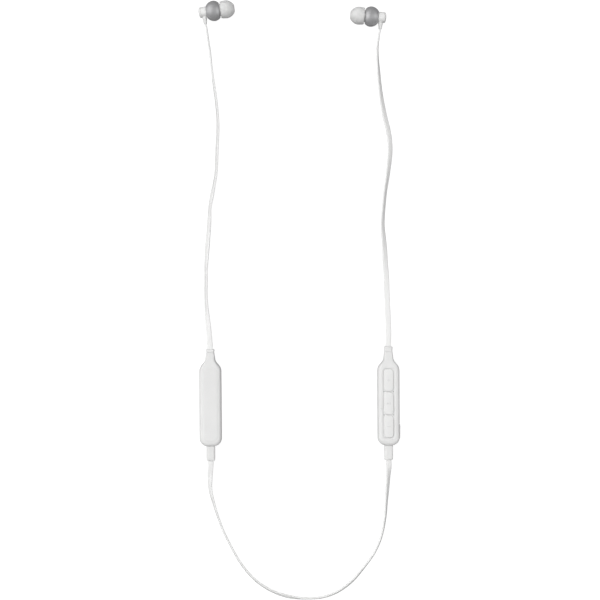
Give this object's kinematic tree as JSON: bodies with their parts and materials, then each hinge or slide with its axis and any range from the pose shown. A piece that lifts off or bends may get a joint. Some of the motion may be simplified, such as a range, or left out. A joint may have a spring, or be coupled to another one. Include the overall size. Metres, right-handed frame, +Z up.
{
  "type": "neckband earphones",
  "caption": "Wireless neckband earphones laid flat: earbuds on flat leads, a battery pod and a keyed remote pod joined by a flat neck cord.",
  "frame": {"origin": "centre of the footprint of the earbuds and pods, on the surface they lie on", "axes": "+Z up from the surface, +Y from the pods to the earbuds, +X towards the remote pod"},
  "size_m": [0.1284, 0.3821, 0.0128],
  "materials": {
    "white_plastic": "satin",
    "white_cable": "satin",
    "white_relief": "matt",
    "tip_silicone": "satin",
    "barrel_metal": "satin",
    "steel": "satin",
    "black_plastic": "satin",
    "coil_wire": "gloss",
    "film": "gloss",
    "board_mask": "satin",
    "cell_pouch": "satin",
    "foam": "matt",
    "clear_plastic": "gloss"
  },
  "bodies": {
    "frame": {"left_nozzle_cap": "white_plastic", "left_nozzle_screen": "steel", "left_barrel": "barrel_metal", "left_driver_basket": "steel", "left_driver_magnet": "steel", "left_rear_housing": "white_plastic", "left_rear_cap": "white_plastic", "left_bud_relief": "white_relief", "right_nozzle_cap": "white_plastic", "right_nozzle_screen": "steel", "right_barrel": "barrel_metal", "right_driver_basket": "steel", "right_driver_magnet": "steel", "right_rear_housing": "white_plastic", "right_rear_cap": "white_plastic", "right_bud_relief": "white_relief", "battery_cover": "white_plastic", "battery_back_shell": "white_plastic", "battery_cell": "cell_pouch", "battery_foam_pad": "foam", "protection_board": "board_mask", "battery_upper_relief": "white_relief", "battery_lower_relief": "white_relief", "remote_cover": "white_plastic", "remote_back_shell": "white_plastic", "volume_up_switch": "steel", "play_switch": "steel", "volume_down_switch": "steel", "circuit_board": "board_mask", "usb_shell": "steel", "usb_tongue": "black_plastic", "radio_chip": "black_plastic", "antenna_chip": "clear_plastic", "microphone": "steel", "status_led": "clear_plastic", "light_guide": "clear_plastic", "remote_upper_relief": "white_relief", "remote_lower_relief": "white_relief", "left_lead": "white_cable", "right_lead": "white_cable", "neck_cord": "white_cable"},
    "volume_up_button": {"volume_up_key": "white_plastic", "volume_up_actuator": "black_plastic"},
    "play_button": {"play_key": "white_plastic", "play_actuator": "black_plastic"},
    "volume_down_button": {"volume_down_key": "white_plastic", "volume_down_actuator": "black_plastic"},
    "charging_door": {"port_door": "white_relief"},
    "left_tip": {"left_ear_tip": "tip_silicone"},
    "right_tip": {"right_ear_tip": "tip_silicone"},
    "left_moving_coil": {"left_diaphragm": "film", "left_voice_coil": "coil_wire"},
    "right_moving_coil": {"right_diaphragm": "film", "right_voice_coil": "coil_wire"}
  },
  "joints": [
    {"name": "volume_up_press", "type": "slide", "parent": "frame", "child": "volume_up_button", "axis": [0, 0, -1], "range_m": [0, 0.00025], "stiffness_N_per_m": 4000},
    {"name": "play_press", "type": "slide", "parent": "frame", "child": "play_button", "axis": [0, 0, -1], "range_m": [0, 0.00025], "stiffness_N_per_m": 4000},
    {"name": "volume_down_press", "type": "slide", "parent": "frame", "child": "volume_down_button", "axis": [0, 0, -1], "range_m": [0, 0.00025], "stiffness_N_per_m": 4000},
    {"name": "door_hinge", "type": "hinge", "parent": "frame", "child": "charging_door", "pos_m": [0.06436, -0.13176, 0.0042], "axis": [0, 0, -1], "range_deg": [0, 110]},
    {"name": "left_tip_pull", "type": "slide", "parent": "frame", "child": "left_tip", "axis": [0.9914, 0.1305, 0], "range_m": [0, 0.008]},
    {"name": "right_tip_pull", "type": "slide", "parent": "frame", "child": "right_tip", "axis": [-0.9969, 0.0785, 0], "range_m": [0, 0.008]},
    {"name": "left_diaphragm_stroke", "type": "slide", "parent": "frame", "child": "left_moving_coil", "axis": [0.9914, 0.1305, 0], "range_m": [-0.00015, 0.00015], "stiffness_N_per_m": 100},
    {"name": "right_diaphragm_stroke", "type": "slide", "parent": "frame", "child": "right_moving_coil", "axis": [-0.9969, 0.0785, 0], "range_m": [-0.00015, 0.00015], "stiffness_N_per_m": 100}
  ]
}
